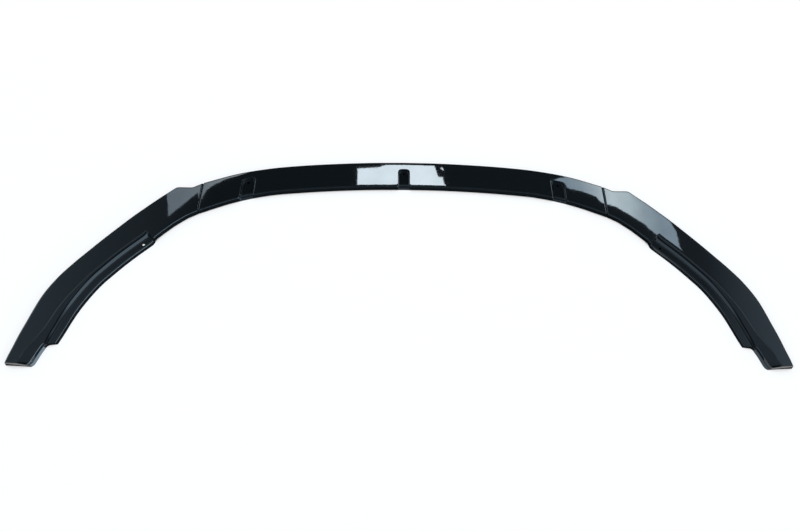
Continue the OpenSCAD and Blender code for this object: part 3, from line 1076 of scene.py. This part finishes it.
def floor_material():
    """Pale floor, white to the camera apart from a share of its own light and shade.
    Under and next to an object it loses its white and pale colour by openness, as painted shade. Reflections
    see its colour painted darker, apart from a painted white glow in front of the tips. A painted white
    patch lies under the left flange hole.
    """
    look = studio()
    material = bpy.data.materials.new("pale_floor")
    shader = Shader(material)
    seen, through, mirrored = (shader.ray(kind) for kind in ("Camera", "Transmission", "Glossy"))
    # Painted shade: the floor's openness takes its white and its pale colour away under and right next to an
    # object
    open_floor = shader.node(
        "ShaderNodeAmbientOcclusion", {"samples": 8}, {"Distance": look.shade_reach}, "AO")
    place = shader.coordinates()
    # Painted light: a white patch painted on the floor round the left flange hole's axis, so that the hole
    # looks bright
    hole = mount_places("left_flange_hole")[0]
    reach = shader.node("ShaderNodeVectorMath", {"operation": "DISTANCE"}, {
        0: place, 1: (hole.x, hole.y, CAD_BOX[0].z)}, "Value")
    gleam = ((look.gleam_r - reach) / MM).clamped()
    clear = ((open_floor - look.clear_from) * look.clear_gain + gleam * look.gleam_gain).clamped()
    # Painted reflection: reflections see the floor in front of the tips as plain white emission with no
    # shade, so that the tips' end faces look bright
    before_tips = ((CAD_BOX[0].y - place.axis("Y")) / MM).clamped()
    # Painted shade: the pale colour fades to the shaded colour where the floor is covered, and reflections
    # see it darker still
    near = ((open_floor - look.pale_from) * look.pale_gain + look.pale_least).clamped()
    pale = shader.mix(near * (1 - mirrored * look.mirror_dim), look.shaded, look.floor_colour)
    lit = shader.node("ShaderNodeBsdfDiffuse", {}, {"Color": pale})
    # Painted reflection: the white glow that reflections see in front of the tips
    glow = mirrored * before_tips
    share = ((seen + through).clamped() * clear * (1 - look.shade_share) + glow).clamped()
    white = shader.node("ShaderNodeEmission", {}, {"Color": (1, 1, 1, 1), "Strength": look.floor_white})
    surface = shader.node("ShaderNodeMixShader", {}, {0: share, 1: lit, 2: white})
    shader.node("ShaderNodeOutputMaterial", {}, {"Surface": surface})
    return material


class LIP_OT_stage(bpy.types.Operator):
    """Lays the pale floor"""
    bl_idname = "lip.stage"
    bl_label = "Floor"

    def execute(self, context):
        look = studio()
        bpy.ops.object.select_all(action="DESELECT")
        bpy.ops.mesh.primitive_plane_add(size=look.floor_w, location=(0, 0, CAD_BOX[0].z))
        floor = context.object
        floor.name = "floor"
        bpy.ops.object.transform_apply(location=True, rotation=False, scale=True)
        floor.data.materials.append(floor_material())
        return {"FINISHED"}


# Height of the softboxes above the floor
BOX_HEIGHT = 2.0
# Share by which a softbox changes in streaks
STREAKS = 0.26
# Softboxes by name: corners in plan, dim and bright radiance, and shares of the bright one across
SOFTBOXES = {
    "centre_box": (
        ((-0.194, 1.529), (0.0, 1.532), (0.204, 1.529), (0.197, 1.554), (0.192, 1.587), (0.17, 1.592),
            (0.159, 1.637), (0.153, 1.655), (-0.062, 1.657), (-0.102, 1.639), (-0.157, 1.635),
            (-0.195, 1.63)),
        (13.8, 16.2, 17.8), (15.6, 17.8, 19.4), (0.3, 0.6, 0.9, 1.0, 0.5)),
    "small_box": (
        ((0.18, 1.644), (0.192, 1.641), (0.198, 1.626), (0.187, 1.632)),
        (17.0, 19.0, 21.0), (17.0, 19.0, 21.0), (1.0, 1.0)),
    "left_box": (
        ((-1.022, 1.367), (-0.995, 1.396), (-0.955, 1.438), (-0.915, 1.481), (-0.903, 1.496),
            (-0.897, 1.462), (-0.882, 1.462), (-0.868, 1.505), (-0.844, 1.531), (-0.802, 1.558),
            (-0.742, 1.592), (-0.70, 1.674), (-1.079, 1.56), (-1.04, 1.469), (-1.029, 1.427)),
        (2.2, 2.8, 3.35), (4.9, 5.6, 6.0), (0.0, 0.15, 0.25, 0.7, 1.0)),
    "right_box": (
        ((0.746, 1.559), (0.759, 1.536), (0.825, 1.517), (0.882, 1.492), (0.902, 1.462), (0.93, 1.452),
            (0.968, 1.438), (1.006, 1.412), (1.047, 1.380), (1.089, 1.348), (1.109, 1.320), (1.234, 1.202),
            (1.231, 1.251), (1.224, 1.339), (1.224, 1.47), (1.19, 1.66), (0.755, 1.70), (0.751, 1.60),
            (0.736, 1.595), (0.679, 1.573), (0.715, 1.572)),
        (4.1, 5.4, 6.5), (9.8, 11.8, 12.7), (0.0, 0.0, 0.12, 0.55, 1.0, 0.75, 0.25, 0.03, 0.0)),
}
# Strengths of the room's lights: the crease overhead, the front wall, the low light and the lights beside
CREASE_GLOW, FAR_GLOW, LOW_GLOW, BESIDE_GLOW = 1.7, 0.2, 0.7, 0.7
# Cool cast of the room's light
ROOM_TINT = (0.74, 1.0, 1.22)
WHITE = (1, 1, 1)


class LIP_OT_lights(bpy.types.Operator):
    """Sets the softboxes and the room's light"""
    bl_idname = "lip.lights"
    bl_label = "Lights"

    def execute(self, context):
        for name, settings in SOFTBOXES.items():
            self.softbox(name, *settings)
        self.room()
        return {"FINISHED"}

    def softbox(self, name, corners, dim, bright, shares):
        """A glowing panel that only reflections and shadows see."""
        bpy.ops.object.select_all(action="DESELECT")
        bpy.ops.mesh.primitive_circle_add(vertices=len(corners), fill_type="NGON")
        box = bpy.context.object
        box.name = name
        for vertex, corner in zip(box.data.vertices, corners):
            vertex.co = (*corner, BOX_HEIGHT)
        box.visible_camera = False
        left = min(x for x, y in corners)
        width = max(x for x, y in corners) - left
        material = bpy.data.materials.new(name)
        shader = Shader(material)
        place = shader.coordinates()
        across = (place.axis("X") - left) / width
        stops = tuple((k / (len(shares) - 1), share) for k, share in enumerate(shares))
        radiance = shader.mix(shader.ramp(across, *stops), dim, bright)
        streaks = (1 - STREAKS / 2) + shader.noise(place, 14, 3) * STREAKS
        glow = shader.node("ShaderNodeEmission", {}, {"Color": radiance, "Strength": streaks})
        shader.node("ShaderNodeOutputMaterial", {}, {"Surface": glow})
        box.data.materials.append(material)

    def room(self):
        """A dim ceiling that is paler to the sides, a glow overhead and bright walls behind the camera."""
        world = bpy.data.worlds.new("studio_room")
        bpy.context.scene.world = world
        shader = Shader(world)
        place = shader.coordinates("Generated")
        across, ahead, up = (place.axis(name) for name in ("X", "Y", "Z"))
        side = (across + 1) * 0.5
        behind = (0.5 - ahead * 8).clamped()
        aside = across.sum("ABSOLUTE", across)
        forth = (ahead + 1) * 0.5
        ceiling = shader.ramp(side, (0.3, 0.6), (0.345, 0.54), (0.375, 0.34), (0.4, 0.18), (0.42, 0.075),
            (0.58, 0.1), (0.635, 0.2), (0.65, 0.6), (0.67, 0.96), (1, 0.8)) * shader.ramp(
            up, (0.785, 0), (0.812, 1)) * shader.ramp(forth, (0.64, 0), (0.68, 1))
        crease = shader.ramp(up, (0.864, 0), (0.874, 1), (0.9, 1), (0.915, 0)) * shader.ramp(
            forth, (0.68, 0), (0.7, 1)) * CREASE_GLOW
        overhead = shader.ramp(forth, (0.46, 0), (0.485, 0.4), (0.64, 0.44), (0.7, 0.5)) * shader.ramp(
            up, (0.88, 0), (0.9, 1)) * shader.ramp(aside, (0.2, 1), (0.25, 0))
        top = ceiling.maximum(overhead).maximum(crease)
        band = shader.ramp(up, (0.34, 0), (0.43, 1), (0.82, 1), (0.86, 0))
        far = shader.ramp(up, (0.34, 0), (0.43, 1), (0.7, 1), (0.77, 0))
        strip = shader.ramp(up, (0.46, 0), (0.5, 1), (0.66, 1), (0.7, 0))
        low = shader.ramp(up, (0.3, 1), (0.43, 0))
        corners = shader.ramp(side, (0.2, 1.04), (0.3, 0.95), (0.36, 0), (0.71, 0), (0.78, 2.0))
        wall = band * corners + strip * shader.ramp(aside, (0.28, 0.6), (0.34, 0))
        lamps = low * shader.ramp(side, (0.2, 1.6), (0.42, 0.7), (0.58, 0.7), (0.8, 5.5))
        left_lamp = shader.ramp(side, (0.1, 0), (0.12, 3), (0.23, 3), (0.26, 0)) * shader.ramp(
            forth, (0.72, 0), (0.73, 1), (0.81, 1), (0.82, 0)) * shader.ramp(up, (0.2, 0), (0.3, 1))
        beside = low * shader.ramp(aside, (0.7, 0), (0.8, 1)) * BESIDE_GLOW
        ahead_light = far * FAR_GLOW + low * LOW_GLOW + beside + left_lamp
        light = top + behind * (wall + lamps) + (1 - behind) * ahead_light
        seen = shader.ray("Camera")
        strength = shader.node("ShaderNodeMix", {"data_type": "FLOAT"}, {
            "Factor": seen, "A": light, "B": 1.0}, "Result")
        tint = shader.mix(seen, ROOM_TINT, WHITE)
        background = shader.node("ShaderNodeBackground", {}, {"Color": tint, "Strength": strength})
        shader.node("ShaderNodeOutputWorld", {}, {"Surface": background})


# Width of the camera's sensor in millimetres
SENSOR_W = 36


class LIP_OT_camera(bpy.types.Operator):
    """Places the camera at the viewing angle of the photograph"""
    bl_idname = "lip.camera"
    bl_label = "Camera"

    def execute(self, context):
        look = studio()
        ahead = Vector((math.sin(look.yaw) * math.cos(look.pitch_down),
            math.cos(look.yaw) * math.cos(look.pitch_down), -math.sin(look.pitch_down)))
        level_right = Vector((math.cos(look.yaw), -math.sin(look.yaw), 0))
        level_up = level_right.cross(ahead)
        right = math.cos(look.roll) * level_right + math.sin(look.roll) * level_up
        up = math.cos(look.roll) * level_up - math.sin(look.roll) * level_right
        bpy.ops.object.select_all(action="DESELECT")
        bpy.ops.object.camera_add()
        camera = context.object
        camera.name = "photo_camera"
        turn = Matrix((right, up, -ahead)).transposed().to_4x4()
        camera.matrix_world = Matrix.Translation(look.camera_place) @ turn
        camera.data.lens = look.lens / MM
        camera.data.sensor_width = SENSOR_W
        camera.data.shift_x = look.shift
        context.scene.camera = camera
        context.scene.view_settings.view_transform = "Standard"
        return {"FINISHED"}


class LIP_PT_panel(bpy.types.Panel):
    """Lists the steps that build the lip"""
    bl_idname = "LIP_PT_panel"
    bl_label = "Splitter Lip"
    bl_space_type = "VIEW_3D"
    bl_region_type = "UI"
    bl_category = "Splitter Lip"

    def draw(self, context):
        for step in STEPS:
            self.layout.operator(step.bl_idname)


STEPS = (LIP_OT_camera, LIP_OT_finishes, LIP_OT_centre_blade, LIP_OT_wings, LIP_OT_joint_screws,
    LIP_OT_stage, LIP_OT_lights)
GROUPS = (("lip_sizes", LipSizes), ("lip_finish", LipFinish), ("lip_studio", StudioSizes))


def register():
    for name, group in GROUPS:
        bpy.utils.register_class(group)
        setattr(bpy.types.Scene, name, bpy.props.PointerProperty(type=group))
    for item in STEPS + (LIP_PT_panel,):
        bpy.utils.register_class(item)


def unregister():
    for item in (LIP_PT_panel,) + STEPS:
        bpy.utils.unregister_class(item)
    for name, group in GROUPS:
        delattr(bpy.types.Scene, name)
        bpy.utils.unregister_class(group)


def main():
    register()
    for step in STEPS:
        group, action = step.bl_idname.split(".")
        getattr(getattr(bpy.ops, group), action)()


if __name__ == "__main__":
    main()
